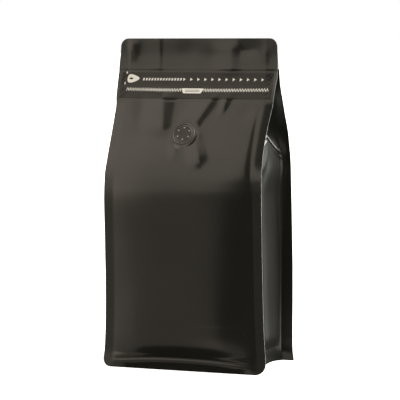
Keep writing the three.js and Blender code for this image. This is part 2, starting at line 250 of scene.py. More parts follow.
def ripple(x, z):
    """Slow unevenness of filled film, under a fifth of a millimetre."""
    total = 0.0
    for height, x_length, z_length, bend, bend_x, bend_z, start in RIPPLES:
        bent = bend * np.sin(x / bend_x + z / bend_z)
        total = total + height * np.sin(x / x_length + z / z_length + bent + start)
    return total


print("highest front pleat:", max(p[-2] for p in FRONT_PLEATS), "mm")

# %% Swell of a panel, and relief of the sealed top
BAND_LOW = 211.0
BAND_HIGH = 231.6
RIB_ARC, RIB_BEND = 3.6, 2.2
RIB_SHARE = 0.45
RIB_END = (10, 30)
FOOT_POWER = 4.5
POWER_CHANGE = (9, 13)
TOP_SHOWN = (223, 236)
SEAL_STEP, SEAL_STEP_AT = -0.3, (56.6, 58.0)


def swell_at(swell, x, z):
    """Swell of a panel. Near the foot it keeps its height almost to the seals, and its ribs are arcs."""
    across = np.minimum(1, np.abs(x) / seal_root(z))
    power = SWELL_POWER + (FOOT_POWER - SWELL_POWER) * (1 - smooth(*POWER_CHANGE, z))
    lowered = np.minimum(RIB_ARC * across**RIB_BEND, RIB_SHARE * z) * (1 - smooth(*RIB_END, z))
    return course(swell, z + lowered) * (1 - across**power)


def top_relief(x, z):
    seal_step = SEAL_STEP * smooth(*SEAL_STEP_AT, np.abs(x))
    return smooth(*TOP_SHOWN, z) * (dents_at(TOP_DENTS, x, z) + pleats_at(TOP_PLEATS, x, z) + seal_step)


def inside_seals(x, z):
    return 1 - np.minimum(1, np.abs(x) / seal_root(z)) ** SWELL_POWER


print("band height:", round(BAND_HIGH - BAND_LOW, 1), "mm")

# %% Front surface, with its creases and pressed lines
RELIEF_END = (211, 222)
RIPPLE_RISE, RIPPLE_FALL = (8, 30), (196, 206)
IMPRINT_DEPTH, IMPRINT = 0.16, (35.5, 0.9)
BAND_GROOVE_DEPTH, BAND_GROOVE = 0.55, (BAND_LOW - 0.9, 0.8)
SIDE_GROOVE_DEPTH, SIDE_GROOVE = 0.45, (-1.2, 2.2)
SIDE_GROOVE_RISE, SIDE_GROOVE_FALL = (146, 160), (204, 210)
SEAL_SWEEP, UPPER_SWEEP = 0.11, 0.34
SWEEP_CHANGE, SWEEP_END = (150, 165), (204, 214)


def creased_front(x, z):
    relief = dents_at(FRONT_DENTS, x, z) + pleats_at(FRONT_PLEATS, x, z)
    relief = relief * (1 - smooth(*RELIEF_END, z))
    relief = relief + ripple(x, z) * between(RIPPLE_RISE, RIPPLE_FALL, z)
    relief = relief - IMPRINT_DEPTH * line(z, *IMPRINT) - BAND_GROOVE_DEPTH * line(z, *BAND_GROOVE)
    in_seal = np.abs(x) - seal_root(z)
    groove = SIDE_GROOVE_DEPTH * line(in_seal, *SIDE_GROOVE) * (x > 0)
    groove = groove * between(SIDE_GROOVE_RISE, SIDE_GROOVE_FALL, z)
    sweep = SEAL_SWEEP + (UPPER_SWEEP - SEAL_SWEEP) * smooth(*SWEEP_CHANGE, z)
    swept = sweep * np.maximum(0, in_seal) * (1 - smooth(*SWEEP_END, z))
    bulge = swell_at(FRONT_SWELL, x, z) + inside_seals(x, z) * relief
    return course(FRONT_EDGE, z) - bulge + groove + swept


# %% Flat place for the valve, and back surface
VALVE_X = -2.0
VALVE_Z = 184.3
SLOPE_STEP = 2.0
VALVE_FLAT = (9.4, 13.0)
SEAL_MARK_DEPTH, SEAL_MARK = 0.35, (BAND_HIGH + 0.8, 0.7)
BACK_SHIFT = (40, 60)
BACK_RIPPLE_FALL = (215, 230)
BACK_LEAN, BACK_LEAN_RISE, BACK_LEAN_FALL = 0.12, (0, 12), (180, 215)

valve_y = float(creased_front(VALVE_X, VALVE_Z))
above_valve, below_valve = (creased_front(VALVE_X, VALVE_Z + step) for step in (SLOPE_STEP, -SLOPE_STEP))
valve_slope = float(above_valve - below_valve) / (2 * SLOPE_STEP)


def front_y(x, z):
    away = np.hypot(x - VALVE_X, (z - VALVE_Z) * math.hypot(1, valve_slope))
    flat = 1 - smooth(*VALVE_FLAT, away)
    plane = valve_y + valve_slope * (z - VALVE_Z)
    seal_mark = SEAL_MARK_DEPTH * line(z, *SEAL_MARK)
    y = creased_front(x, z)
    return y + flat * (plane - y) - top_relief(x, z) + seal_mark - dents_at(END_DENTS, x, z)


def back_y(x, z):
    wave = ripple(-x + BACK_SHIFT[0], z + BACK_SHIFT[1]) * between(RIPPLE_RISE, BACK_RIPPLE_FALL, z)
    lean = BACK_LEAN * np.maximum(0, np.abs(x) - seal_root(z)) * between(BACK_LEAN_RISE, BACK_LEAN_FALL, z)
    bulge = swell_at(BACK_SWELL, x, z) + inside_seals(x, z) * wave
    return course(BACK_EDGE, z) + bulge - top_relief(x, z) + lean


valve_lean = math.degrees(math.atan(valve_slope))
print("valve stands at y", round(valve_y, 2), "mm and leans by", round(valve_lean, 1), "degrees")

# %% [markdown]
# ## The side gussets
#
# Each side is a folded gusset, sealed to the edge strips of the front and back panels. Low down it is a
# flat wall with a faint centre crease, a little hollow beside the front seal, and drawn in at the foot.
# Above the beans it turns in over a roof-like shoulder and becomes a deep V between front and back.
# The mesh lines are lifted to run side by side with the shoulder's ridge, because a ridge that
# crosses the mesh lines at an angle comes out as a staircase. The film could be folded by a cloth
# simulation too, but a formula keeps the fold exactly where the CAD model has it.

# %% Pressed lines of the gusset wall
FIN = 0.5
SHOULDER_Z = 170.0
SHOULDER_RISE = 15.0
ROUNDING, ROUNDING_REACH = -1.7, 2.2
# Beads below the shoulder: height, distance below the ridge, width.
BEADS = [(0.5, 3.4, 1.1), (-0.35, 5.2, 0.8), (0.5, 7.2, 1.1)]
BELLY_HEIGHT, BELLY, BELLY_SIDE = 2.4, (19, 9.0), (-0.5, 0.6)
WALL_FOOT = [
    (0, -5.2), (4, -4.0), (8, -2.9), (10, -2.6), (12, -2.5), (14, -1.8), (19.5, 0.2), (22, 0.5),
    (27, 0.5), (36, 0.2), (52, 0.0), (80, 0), (300, 0),
]
FOOT_SIDE_POWER = 6


def wall_relief(side, z):
    """Pressed lines of the outer wall, outwards. Side runs from -1 at the front to 1 at the back."""
    below = SHOULDER_Z + SHOULDER_RISE * (1 - np.abs(side)) - z
    relief = ROUNDING * np.exp(-np.maximum(0, below) / ROUNDING_REACH)
    for height, at, width in BEADS:
        relief = relief + height * line(below, at, width)
    relief = relief + BELLY_HEIGHT * line(below, *BELLY) * line(side, *BELLY_SIDE)
    return relief + course(WALL_FOOT, z) * (1 - side**FOOT_SIDE_POWER)


# %% Gusset surface
GUSSET_DEPTH = 75.0
POCKET_TOP = 234.0
SHELF = 3.2
CREASE, CREASE_FALL = 1.8, (70, 140)
FLARE, FLARE_REACH = 1.5, 30
WALL_HOLLOW, HOLLOW_LOW = 3.0, 0.6
HOLLOW_RISE, HOLLOW_END, HOLLOW_SIDE = (70, 130), (132, 160), (-1, -0.5)
ROOT_FROM, ROOT_POWER = 0.2, 2.2
ROOT_INSET, ROOT_SIDE = 1.8, (-0.2, 1)
RELIEF_SIDE = (0, 0.12)
LIFT_RISE, LIFT_FALL = (110, 165), (180, POCKET_TOP)
TINY = 1e-6


def wall_hollow(side, z):
    to_root = np.clip((side - ROOT_FROM) / (1 - ROOT_FROM), 0, 1) ** ROOT_POWER
    depth = WALL_HOLLOW * (HOLLOW_LOW + (1 - HOLLOW_LOW) * smooth(*HOLLOW_RISE, z))
    hollow = depth * (1 - to_root) * smooth(*HOLLOW_SIDE, side) + ROOT_INSET * smooth(*ROOT_SIDE, side)
    return hollow * (1 - smooth(*HOLLOW_END, z))


def gusset_x(side, z):
    inwards = 1 - np.abs(side)
    flare = FLARE * np.exp(-z / FLARE_REACH) * (1 - side**2)
    wall = seal_root(z) + flare - CREASE * (1 - smooth(*CREASE_FALL, z)) * inwards
    above = z - SHOULDER_Z - SHOULDER_RISE * inwards
    half = (course(BACK_EDGE, z) - course(FRONT_EDGE, z)) / 2 - FIN
    depth = np.sqrt(np.maximum(0, (GUSSET_DEPTH / 2) ** 2 - half**2))
    over = np.clip(above / np.maximum(SHELF * inwards, TINY), 0, 1)
    over = np.where(above <= 0, 0.0, over)
    folded = seal_root(z) - depth * inwards
    relief = wall_relief(side, z) * smooth(*RELIEF_SIDE, inwards) - wall_hollow(side, z)
    return wall + (folded - wall) * over + relief * (1 - over)


def ridge_lift(side, z):
    return SHOULDER_RISE * (1 - np.abs(side)) * between(LIFT_RISE, LIFT_FALL, z)


print("gusset wall stands at x", round(float(gusset_x(0.5, 100.0)), 2), "mm at 100 mm")

# %% [markdown]
# ## One lofted skin
#
# The skin is a stack of closed rings, one for each height. A ring runs along the front, round the right
# gusset pocket, back along the rear panel and round the left pocket. Above the pockets the ring is
# just front and back, pressed together. Each seal strip ends in the corner that the real one shows:
# widely rounded at the front's right foot, almost square at the back. Five flat plates would be
# quicker and would look like plates: a loft keeps the film continuous round every fold. The levels
# lie close at the foot and at the shoulder, where the shape changes fast, and further apart between.

# %% Levels and columns of the loft
PANEL_COLUMNS = 118
SEAL_COLUMNS = 5
WALL_COLUMNS = 32
# Zones of the loft: upper end, distance between levels.
POCKET_ZONES = [(1, 0.25), (5, 0.5), (14, 0.6), (45, 1.1), (128, 2.6), (160, 1.6), (190, 0.55), (234, 0.9)]
TOP_ZONES = [(253, 1.0), (256.5, 0.5), (257.6, 0.22), (HEIGHT, 0.1)]


def levels(start, zones):
    heights = [start]
    for upto, step in zones:
        count = max(1, round((upto - heights[-1]) / step))
        heights.extend(np.linspace(heights[-1], upto, count + 1)[1:])
    return np.array(heights)


POCKET_LEVELS = levels(0.0, POCKET_ZONES)
TOP_LEVELS = levels(POCKET_TOP, TOP_ZONES)
print("levels:", len(POCKET_LEVELS), "up to the pockets and", len(TOP_LEVELS), "above")

# %% Rows of points along the panels
STRIP_SHARES = np.linspace(1, 0, SEAL_COLUMNS + 1)[:-1]
LEAST_SEAL = 1


def seal_places(z, corner):
    """The root of a side seal, and the places of its columns from the outer edge to the root."""
    edge = half_width(z, corner)
    root = min(seal_root(z), edge - LEAST_SEAL)
    return root, root + (edge - root) * STRIP_SHARES


def panel_row(surface, z):
    at_front = surface is front_y
    left_root, left_strip = seal_places(z, FOOT_CORNER if at_front else BACK_CORNER)
    right_root, right_strip = seal_places(z, RIGHT_FRONT_CORNER if at_front else BACK_CORNER)
    middle = np.linspace(-left_root, right_root, PANEL_COLUMNS + 1)
    x = np.concatenate([-left_strip, middle, right_strip[::-1]]) + sway(z)
    return np.column_stack([x, surface(x, z), np.full_like(x, z)])


# %% Rows of points round the gusset pockets
EDGE_GAP = 0.8
FRONT_FILLET = 1.5
BACK_FILLET, BACK_FILLET_GROWTH, FILLET_RISE = 1.3, 2.3, (60, 150)
FILLET_SHARE = 0.4
fillet_places = np.array([0.0, 0.04, 0.15, 0.35, 0.62])


def rounded(gap, radius):
    """How far a rounded corner stands off the wall, at a distance from the corner."""
    into = radius - np.clip(gap, 0, radius)
    return radius - np.sqrt(np.maximum(0, radius**2 - into**2))


def seal_strip(surface, wall_x, edge, z, hand, offset):
    """The inner face of a seal strip, from its edge to the gusset wall."""
    x = hand * (wall_x + (edge - wall_x) * STRIP_SHARES) + sway(z)
    return np.column_stack([x, surface(x, z) + offset, np.full_like(x, z)])


def pocket_row(z, hand):
    front_edge = half_width(z, RIGHT_FRONT_CORNER if hand > 0 else FOOT_CORNER)
    root = hand * min(seal_root(z), front_edge - LEAST_SEAL)
    half = (back_y(root + sway(z), z) - front_y(root + sway(z), z)) / 2 - FIN
    front_bend = min(FRONT_FILLET, FILLET_SHARE * half)
    back_bend = min(BACK_FILLET + BACK_FILLET_GROWTH * smooth(*FILLET_RISE, z), FILLET_SHARE * half)
    wall = np.linspace(-1 + front_bend / half, 1 - back_bend / half, WALL_COLUMNS)
    front_end = -1 + front_bend * fillet_places / half
    back_end = 1 - back_bend * fillet_places / half
    sides = np.concatenate([front_end, wall, back_end[::-1]])
    tall = z + ridge_lift(sides, z)
    near = front_y(root + sway(tall), tall) + FIN
    far = back_y(root + sway(tall), tall) - FIN
    y = near + (far - near) * (sides + 1) / 2
    bend = rounded((1 + sides) * half, front_bend) + rounded((1 - sides) * half, back_bend)
    x = np.minimum(gusset_x(sides, tall) + bend, front_edge - EDGE_GAP)
    gusset = np.column_stack([hand * x + sway(tall), y, tall])
    front_strip = seal_strip(front_y, x[0], front_edge, z, hand, FIN)
    back_strip = seal_strip(back_y, x[-1], half_width(z, BACK_CORNER), z, hand, -FIN)
    return np.vstack([front_strip, gusset, back_strip[::-1]])


def rows_at(z):
    return panel_row(front_y, z), pocket_row(z, 1), panel_row(back_y, z)[::-1], pocket_row(z, -1)[::-1]


FRONT_COUNT = PANEL_COLUMNS + 1 + 2 * SEAL_COLUMNS
POCKET_COUNT = 2 * SEAL_COLUMNS + WALL_COLUMNS + 2 * len(fillet_places)
print("points in a ring:", 2 * (FRONT_COUNT + POCKET_COUNT))

# %% Join the rings into one closed mesh
PANEL_FACE, GUSSET_FACE, CUT_FACE, BASE_FACE, CREST_FACE = range(5)
# Heights between which the shoulder's crest is painted pale grey as a painted highlight.
CREST_RINGS = (166.9, 170.1)
points = []
faces = []
kinds = []


def add_points(rows):
    start = len(points)
    points.extend(map(tuple, rows))
    return list(range(start, len(points)))


def add_face(corners, kind):
    faces.append(corners)
    kinds.append(kind)


def join_rings(low, high, ring_kinds):
    for i, kind in enumerate(ring_kinds):
        after = (i + 1) % len(low)
        add_face((low[i], low[after], high[after], high[i]), kind)


# %% What each face of a ring is made of
panel_kinds = [PANEL_FACE] * (FRONT_COUNT - 1)
pocket_kinds = [GUSSET_FACE] * (POCKET_COUNT - 1)
wall_start = SEAL_COLUMNS + len(fillet_places)
wall_end = POCKET_COUNT - 1 - wall_start
# Faces across the shoulder's crest get a painted highlight: a pale grey film in place of the light the ridge
# catches.
crest_kinds = list(pocket_kinds)
crest_kinds[wall_start:wall_end] = [CREST_FACE] * (wall_end - wall_start)
open_kinds = (panel_kinds + [CUT_FACE] + pocket_kinds + [CUT_FACE]) * 2
crest_highlight_kinds = (panel_kinds + [CUT_FACE] + crest_kinds + [CUT_FACE]) * 2
shut_kinds = (panel_kinds + [CUT_FACE] * 3) * 2
print("rubbed faces across the shoulder:", wall_end - wall_start)

# %% Stack the rings
pocket_rings = [[add_points(row) for row in rows_at(z)] for z in POCKET_LEVELS]
for k, (low, high) in enumerate(zip(pocket_rings, pocket_rings[1:])):
    in_crest = CREST_RINGS[0] < POCKET_LEVELS[k : k + 2].mean() < CREST_RINGS[1]
    join_rings(sum(low, []), sum(high, []), crest_highlight_kinds if in_crest else open_kinds)


def shut_ring(front, right, back, left):
    return front + [right[0], right[-1]] + back + [left[0], left[-1]]


def shut_rows(z):
    front, back = panel_row(front_y, z), panel_row(back_y, z)[::-1]
    inwards = np.array([0, FIN, 0])
    right = add_points([front[-1] + inwards, back[0] - inwards])
    left = add_points([back[-1] - inwards, front[0] + inwards])
    return shut_ring(add_points(front), right, add_points(back), left)


lower = shut_ring(*pocket_rings[-1])
for z in TOP_LEVELS[1:]:
    upper = shut_rows(z)
    join_rings(lower, upper, shut_kinds)
    lower = upper
add_face(tuple(lower), CUT_FACE)
for pocket in (pocket_rings[-1][1], pocket_rings[-1][3]):
    add_face(tuple(pocket[::-1]), GUSSET_FACE)
print("faces in the skin so far:", len(faces))

# %% [markdown]
# ## The underside
#
# The bag stands on the cut edges of its bottom seals. Inside them the base panel is set up by about two
# millimetres, sags in the middle under the beans, and shows the folds it was made with: one across
# the middle and one from each corner. It is a patch between the four walls of the lowest ring.

# %% Height of the base
RIM = (0.6, 2.0)
BASE_EDGE = 37.3
BASE_RISE = 2.0
BASE_SAG, SAG_FROM_EDGE = 1.3, (4, 34)
CENTRE_FOLD, CENTRE_WIDTH, CENTRE_FROM_EDGE = 0.35, 1.3, (1, 6)
CORNER_FOLD, CORNER_WIDTH, CORNER_FROM_EDGE = 0.3, 1.4, (3, 8)


def base_height(x, y):
    to_side = seal_root(0.0) - np.abs(x)
    to_panel = BASE_EDGE - np.abs(y)
    inside = np.minimum(to_side, to_panel)
    sag = BASE_SAG * smooth(*SAG_FROM_EDGE, inside)
    centre_fold = CENTRE_FOLD * line(y, 0, CENTRE_WIDTH) * smooth(*CENTRE_FROM_EDGE, to_side)
    corner_fold = CORNER_FOLD * line(to_side, to_panel, CORNER_WIDTH) * smooth(*CORNER_FROM_EDGE, inside)
    raised = BASE_RISE - sag + centre_fold + corner_fold
    return np.maximum(0.0, raised) * smooth(*RIM, inside)


print("base height in the middle:", round(float(base_height(0.0, 0.0)), 2), "mm")

# %% Base patch
front_ring, right_ring, back_ring, left_ring = pocket_rings[0]
inner = slice(SEAL_COLUMNS, -SEAL_COLUMNS)
inner_front, inner_back = front_ring[inner], back_ring[inner][::-1]
right_wall = [inner_front[-1]] + right_ring[inner] + [inner_back[-1]]
left_wall = [inner_front[0]] + left_ring[inner][::-1] + [inner_back[0]]


def flat(ids):
    return np.array([points[i][:2] for i in ids])


front_line, back_line, right_line, left_line = map(flat, (inner_front, inner_back, right_wall, left_wall))
u = np.linspace(0, 1, len(inner_front))[None, :, None]
v = ((left_line[:, 1] - left_line[0, 1]) / (left_line[-1, 1] - left_line[0, 1]))[:, None, None]
patch = (1 - v) * front_line[None] + v * back_line[None]
patch += (1 - u) * left_line[:, None] + u * right_line[:, None]
patch -= (1 - u) * (1 - v) * front_line[0] + u * (1 - v) * front_line[-1]
patch -= (1 - u) * v * back_line[0] + u * v * back_line[-1]
grid = [list(inner_front)]
for k in range(1, len(left_wall) - 1):
    x, y = patch[k, 1:-1].T
    row = add_points(np.column_stack([x, y, base_height(x, y)]))
    grid.append([left_wall[k]] + row + [right_wall[k]])
grid.append(list(inner_back))
for low, high in zip(grid, grid[1:]):
    for i in range(len(low) - 1):
        add_face((low[i], high[i], high[i + 1], low[i + 1]), BASE_FACE)
print("faces in the base:", kinds.count(BASE_FACE))

# %% Bottom edges of the side seals
for before, after in zip(pocket_rings[0], pocket_rings[0][1:] + pocket_rings[0][:1]):
    for i in range(SEAL_COLUMNS):
        add_face((before[-1 - i], before[-2 - i], after[i + 1], after[i]), CUT_FACE)
print("faces in the skin:", len(faces))

# %% [markdown]
# ## Materials
#
# The bag is printed laminate: a matte lacquer over black ink, over foil. The lacquer is a fine, even
# grain that spreads the light a little, and the film under it is never quite flat. Every black part
# of the bag shares this finish, so it is one node group with its own values in each material. The
# group puts out only a colour, a roughness and a height. The shader stays in the material. An image
# of the film would do as well, but noise needs no file and no unwrapping.

# %% Helpers for shader nodes
COLOUR, NUMBER, VECTOR = "NodeSocketColor", "NodeSocketFloat", "NodeSocketVector"


def new_group(name, inputs, outputs):
    """A group, with the sockets that bring its inputs in and take its results out."""
    group = bpy.data.node_groups.new(name, "ShaderNodeTree")
    for label, kind, value in inputs:
        socket = group.interface.new_socket(name=label, in_out="INPUT", socket_type=kind)
        socket.default_value = value
    for label, kind in outputs:
        group.interface.new_socket(name=label, in_out="OUTPUT", socket_type=kind)
    return group, group.nodes.new("NodeGroupInput").outputs, group.nodes.new("NodeGroupOutput").inputs


def give(socket, value):
    """Link a socket, or set a plain value."""
    if isinstance(value, bpy.types.NodeSocket):
        socket.id_data.links.new(value, socket)
    else:
        socket.default_value = value


def noise(vector, scale, detail, roughness=0.5):
    node = vector.id_data.nodes.new("ShaderNodeTexNoise")
    given = {"Vector": vector, "Scale": scale, "Detail": detail, "Roughness": roughness}
    for label, value in given.items():
        give(node.inputs[label], value)
    return node.outputs["Fac"]


def maths(operation, first, *others):
    node = first.id_data.nodes.new("ShaderNodeMath")
    node.operation = operation
    for socket, value in zip(node.inputs, (first, *others)):
        give(socket, value)
    return node.outputs[0]


def mixed_colour(factor, first, second):
    node = factor.id_data.nodes.new("ShaderNodeMix")
    node.data_type = "RGBA"
    ends = [socket for socket in node.inputs if socket.type == "RGBA"]
    for socket, value in zip([node.inputs["Factor"]] + ends, (factor, first, second)):
        give(socket, value)
    return [socket for socket in node.outputs if socket.type == "RGBA"][0]


# %% Lacquered film group
CLOUD_DETAIL = 3.0
GRAIN_DETAIL, GRAIN_ROUGHNESS = 2.0, 0.6
FIBRE_SCALE, FIBRE_DETAIL, FIBRE_ROUGHNESS = 420.0, 4.0, 0.65
MIDDLE_GREY = 0.5
film_group, film_in, film_out = new_group(
    "lacquered_film",
    [
        ("Colour", COLOUR, (0.02, 0.018, 0.016, 1)),
        ("Worn Colour", COLOUR, (0.03, 0.028, 0.026, 1)),
        ("Roughness", NUMBER, 0.36),
        ("Cloud Scale", NUMBER, 28.0),
        ("Cloud Amount", NUMBER, 0.05),
        ("Grain Scale", NUMBER, 2600.0),
        ("Grain Amount", NUMBER, 0.5),
    ],
    [("Colour", COLOUR), ("Roughness", NUMBER), ("Height", NUMBER)],
)
where = film_group.nodes.new("ShaderNodeTexCoord").outputs["Object"]
cloud = noise(where, film_in["Cloud Scale"], CLOUD_DETAIL)
grain = noise(where, film_in["Grain Scale"], GRAIN_DETAIL, GRAIN_ROUGHNESS)
fibre = noise(where, FIBRE_SCALE, FIBRE_DETAIL, FIBRE_ROUGHNESS)
centred = maths("SUBTRACT", cloud, MIDDLE_GREY)
clouding = maths("MULTIPLY", centred, film_in["Cloud Amount"])
fine = maths("MULTIPLY", grain, film_in["Grain Amount"])
worn = maths("MULTIPLY", cloud, fibre)
film_results = {
    "Colour": mixed_colour(worn, film_in["Colour"], film_in["Worn Colour"]),
    "Roughness": maths("ADD", film_in["Roughness"], clouding),
    "Height": maths("ADD", fine, fibre),
}
for label, result in film_results.items():
    give(film_out[label], result)
print("film group nodes:", len(film_group.nodes))


# %% Film materials
def finished(name, group, values):
    """A material whose colour and roughness come from a group with its own values."""
    material = bpy.data.materials.new(name)
    material.use_nodes = True
    tree = material.node_tree
    shader = tree.nodes["Principled BSDF"]
    finish = tree.nodes.new("ShaderNodeGroup")
    finish.node_tree = group
    for label, value in values.items():
        give(finish.inputs[label.replace("_", " ")], value)
    give(shader.inputs["Base Color"], finish.outputs["Colour"])
    give(shader.inputs["Roughness"], finish.outputs["Roughness"])
    return material, tree, shader, finish


FINE_BUMP = 0.000004
# Colour of each finish, fresh and worn.
BLACK = ((0.0105, 0.0095, 0.0082, 1), (0.018, 0.0165, 0.0145, 1))


def film_material(name, colours=BLACK, bump=FINE_BUMP, specular=0.5, **values):
    values.update(Colour=colours[0], Worn_Colour=colours[1])
    material, tree, shader, finish = finished(name, film_group, values)
    relief = tree.nodes.new("ShaderNodeBump")
    give(relief.inputs["Distance"], bump)
    give(shader.inputs["Specular IOR Level"], specular)
    give(relief.inputs["Height"], finish.outputs["Height"])
    give(shader.inputs["Normal"], relief.outputs["Normal"])
    return material


panel_film = film_material("panel_film", Roughness=0.21)
gusset_film = film_material("gusset_film", Roughness=0.21)
base_film = film_material("base_film", Roughness=0.45)
print("black film:", [m.name for m in (panel_film, gusset_film, base_film)])

# %% [markdown]
# ## Haze, cut edges and a painted crest highlight
#
# The gussets are folded and rubbed before the bag is filled, which leaves a haze over their gloss. It
# is a thin rough coat over the film, so they look evenly grey where the panels are deep and clear. The
# cut edges of the seals show the white inner layer, partly real colour and partly a painted highlight:
# their pale colour also stands in for the light their curled lips catch. The crest of the gusset's
# shoulder is painted pale grey, a painted highlight in place of the light the ridge catches. Both are
# materials of their own on narrow rows of faces, as a mask by angle would also whiten the folds of the
# panels.

# %% Gusset haze, pale edges and the painted crest highlight
HAZE = {"Coat Weight": 0.55, "Coat Roughness": 0.42}
# Cut edges: the white inner layer, painted paler so that it also serves as a painted highlight of their
# curled lips.
INNER_WHITE_AND_HIGHLIGHT = ((0.42, 0.415, 0.4, 1), (0.55, 0.545, 0.53, 1))
# Painted highlight on the shoulder's crest: pale grey in place of the light the ridge catches.
CREST_HIGHLIGHT_GREY = ((0.34, 0.335, 0.318, 1), (0.46, 0.453, 0.432, 1))
for label, value in HAZE.items():
    give(gusset_film.node_tree.nodes["Principled BSDF"].inputs[label], value)
cut_edge = film_material("cut_edge", INNER_WHITE_AND_HIGHLIGHT, Roughness=0.4, Cloud_Scale=180.0)
painted_crest_highlight = film_material("painted_crest_highlight", CREST_HIGHLIGHT_GREY, Roughness=0.3)
skin_films = [panel_film, gusset_film, cut_edge, base_film, painted_crest_highlight]
print("film materials:", [m.name for m in skin_films])

# %% Make the skin an object
import bmesh

SHARP_FROM = math.radians(38)


def make_piece(name, coordinates, corners, materials, kinds_of_faces=None):
    mesh = bpy.data.meshes.new(name)
    mesh.from_pydata([tuple(c * MM for c in p) for p in coordinates], [], corners)
    for material in materials:
        mesh.materials.append(material)
    if kinds_of_faces is not None:
        mesh.polygons.foreach_set("material_index", kinds_of_faces)
    work = bmesh.new()
    work.from_mesh(mesh)
    bmesh.ops.recalc_face_normals(work, faces=work.faces)
    work.to_mesh(mesh)
    work.free()
    mesh.polygons.foreach_set("use_smooth", [True] * len(mesh.polygons))
    mesh.set_sharp_from_angle(angle=SHARP_FROM)
    made = bpy.data.objects.new(name, mesh)
    scene.collection.objects.link(made)
    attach(made, "root")
    return made


bag_film = make_piece("bag_film", points, faces, skin_films, kinds)
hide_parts("bag_body")
print("bag_film size in mm:", [round(d / MM, 1) for d in bag_film.dimensions])

# %% [markdown]
# ## The pressed band
#
# Above the zip a band of film is pressed between knurled jaws, which leaves a fine diamond grain and a
# thin groove along each edge. The band is a slab that follows the front panel and stands a little
# proud of it. Its outer face is a fine grid, and the diamonds are real relief in that grid.
# A bump map would be lighter, but it would stay flat at the band's outline and in close views.

# %% Relief of the pressed band
BAND_HALF = 63.2
BAND_PROUD = 0.18
BAND_INNER = 0.03
BAND_EDGE, BAND_EDGE_WIDTH = 0.06, (0, 0.9)
BAND_STEP = 0.36
KNURL, KNURL_DEPTH = 2.3, 0.36
KNURL_MEAN, KNURL_CHANGE = 0.75, 0.25
KNURL_PATCH = (3.7, 5.0)
PLAIN_LINES = [(221.6, 1.1), (213.2, 0.7)]
SCORE_DEPTH, SCORE = -0.07, (221.6, 0.5)
END_GRIP, END_GRIP_FROM = 0.24, (57.2, 58.4)
CRUSH_Z, CRUSH_X, CRUSH_BEND, CRUSH_BEND_X, CRUSH_LEAN = 2.1, 1.5, 0.6, 1.7, 0.35


def knurl(x, z):
    rising = np.cos(2 * math.pi * (x + z) / KNURL)
    falling = np.cos(2 * math.pi * (x - z) / KNURL)
    uneven = KNURL_MEAN + KNURL_CHANGE * np.sin(x / KNURL_PATCH[0] + 2 * np.sin(z / KNURL_PATCH[1]))
    plain = np.clip(sum(line(z, *place) for place in PLAIN_LINES), 0, 1)
    return KNURL_DEPTH / 4 * (rising + falling) * uneven * (1 - plain)


def end_grip(x, z):
    """Coarser grip at both ends, where the side seals cross the band."""
    crush = np.sin(z * CRUSH_Z + CRUSH_BEND * np.sin(x * CRUSH_BEND_X)) * np.sin(x * CRUSH_X + z * CRUSH_LEAN)
    return END_GRIP * smooth(*END_GRIP_FROM, np.abs(x)) * crush


def band_out(x, z):
    to_edge = np.minimum(BAND_HALF - np.abs(x), np.minimum(z - BAND_LOW, BAND_HIGH - z))
    relief = BAND_PROUD - BAND_EDGE + knurl(x, z) + end_grip(x, z) + SCORE_DEPTH * line(z, *SCORE)
    return BAND_INNER + BAND_EDGE + relief * smooth(*BAND_EDGE_WIDTH, to_edge)


# %% Pressed band
def grid_slab(name, xs, zs, outer, inner, materials):
    x, z = np.meshgrid(xs, zs)
    y = front_y(x, z)
    out_rows = np.stack([x, y - outer(x, z), z], axis=-1).reshape(-1, 3)
    in_rows = np.stack([x, y - inner, z], axis=-1).reshape(-1, 3)
    across, up = len(xs), len(zs)
    offset = across * up
    corners = []
    for r in range(up - 1):
        for c in range(across - 1):
            a = r * across + c
            corners.append((a, a + 1, a + across + 1, a + across))
            corners.append((offset + a, offset + a + across, offset + a + across + 1, offset + a + 1))
    rim = [r * across for r in range(up)] + [(up - 1) * across + c for c in range(1, across)]
    rim += [r * across + across - 1 for r in range(up - 2, -1, -1)] + list(range(across - 2, 0, -1))
    for a, b in zip(rim, rim[1:] + rim[:1]):
        corners.append((a, b, offset + b, offset + a))
    return make_piece(name, np.vstack([out_rows, in_rows]), corners, materials)


COARSE_BUMP = 0.00012
COARSE_GRAIN = {"Grain_Scale": 1100.0, "Grain_Amount": 1.0}
band_film = film_material("band_film", bump=COARSE_BUMP, specular=0.33, Roughness=0.34, **COARSE_GRAIN)
band_x = np.linspace(-BAND_HALF, BAND_HALF, round(2 * BAND_HALF / BAND_STEP) + 1)
band_z = np.linspace(BAND_LOW, BAND_HIGH, round((BAND_HIGH - BAND_LOW) / BAND_STEP) + 1)
pull_band = grid_slab("pull_band", band_x, band_z, band_out, BAND_INNER, [band_film])
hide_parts("pull_strip")
print("band faces:", len(pull_band.data.polygons))

# %% [markdown]
# ## Printed marks
#
# The marks on the band are white ink: a zigzag line over the zip, a row of small arrowheads along the
# line where the band tears, a blank tab in the middle and a few plain marks. They carry no words.
# Ink could be painted by a texture, but its edges would blur in close views. Here each mark is
# a thin layer of its own, laid over the band between a lower and an upper row of points.

